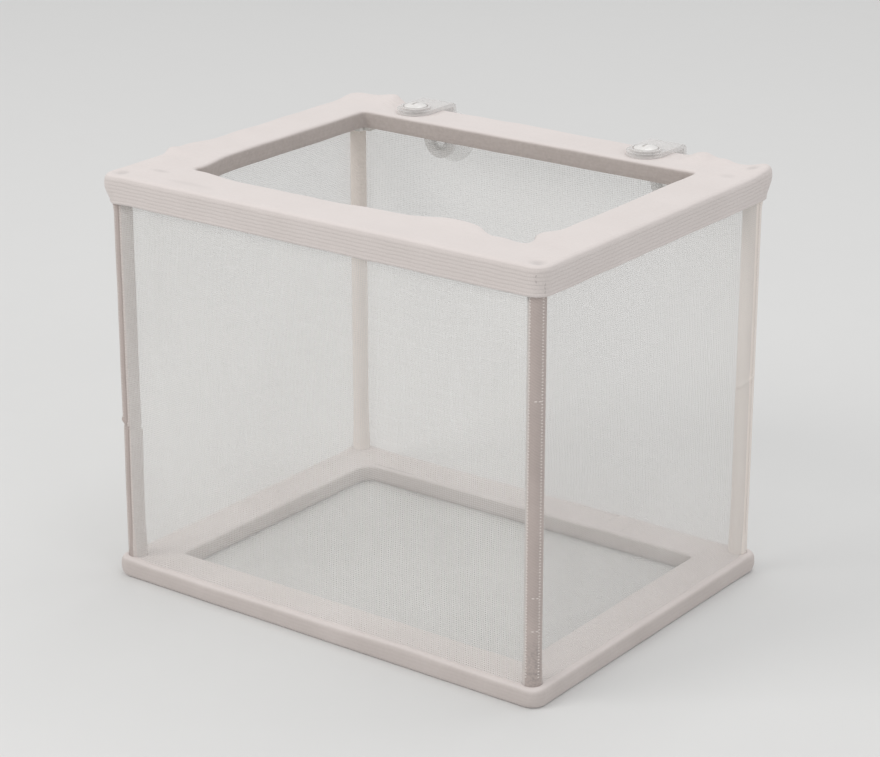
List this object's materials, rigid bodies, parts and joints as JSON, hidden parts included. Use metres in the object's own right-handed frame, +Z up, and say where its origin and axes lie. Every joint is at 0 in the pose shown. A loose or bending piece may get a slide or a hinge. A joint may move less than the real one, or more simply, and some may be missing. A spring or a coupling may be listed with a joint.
{
  "type": "fish breeding box",
  "caption": "Open-topped rectangular net box on a rail-and-post frame, with clear swivelling hangers and suction cups that hold it inside an aquarium.",
  "frame": {"origin": "middle of the box's underside, on the outside of the net floor", "axes": "+Z up, +X to the right along the length, -Y to the front; the hangers are on the +Y side"},
  "size_m": [0.165, 0.1395, 0.1382],
  "materials": {
    "frame_plastic": "moulded white, slightly warm",
    "netting": "fine white see-through mesh",
    "hem_cloth": "ribbed white woven cloth",
    "seam_tape": "grey-white stitched tape",
    "clear_strap": "clear, glossy",
    "clear_button": "milky clear, glossy",
    "cup_rubber": "clear soft vinyl, satin"
  },
  "bodies": {
    "box": {"top_rail_front": "frame_plastic", "top_rail_back": "frame_plastic", "top_rail_left": "frame_plastic", "top_rail_right": "frame_plastic", "bottom_rail_front": "frame_plastic", "bottom_rail_back": "frame_plastic", "bottom_rail_left": "frame_plastic", "bottom_rail_right": "frame_plastic", "post_front_left": "frame_plastic", "post_front_right": "frame_plastic", "post_back_left": "frame_plastic", "post_back_right": "frame_plastic", "net_wall_front": "netting", "net_wall_back": "netting", "net_wall_left": "netting", "net_wall_right": "netting", "net_floor": "netting", "top_hem": "hem_cloth", "bottom_sleeve": "hem_cloth", "corner_tape_front_left": "seam_tape", "corner_tape_front_right": "seam_tape", "corner_tape_back_left": "seam_tape", "corner_tape_back_right": "seam_tape", "snap_button_left": "clear_button", "snap_button_right": "clear_button"},
    "hanger_left": {"hanger_left": "clear_strap"},
    "cup_left": {"suction_cup_left": "cup_rubber"},
    "hanger_right": {"hanger_right": "clear_strap"},
    "cup_right": {"suction_cup_right": "cup_rubber"}
  },
  "joints": [
    {"name": "hanger_left_swivel", "type": "hinge", "parent": "box", "child": "hanger_left", "pos_m": [-0.05, 0.0548, 0.1358], "axis": [0, 0, 1], "range_deg": [-15, 15]},
    {"name": "cup_left_turn", "type": "hinge", "parent": "hanger_left", "child": "cup_left", "pos_m": [-0.05, 0.0687, 0.1225], "axis": [0, 1, 0], "continuous": true},
    {"name": "hanger_right_swivel", "type": "hinge", "parent": "box", "child": "hanger_right", "pos_m": [0.041, 0.0548, 0.1358], "axis": [0, 0, 1], "range_deg": [-15, 15]},
    {"name": "cup_right_turn", "type": "hinge", "parent": "hanger_right", "child": "cup_right", "pos_m": [0.041, 0.0687, 0.1225], "axis": [0, 1, 0], "continuous": true}
  ]
}
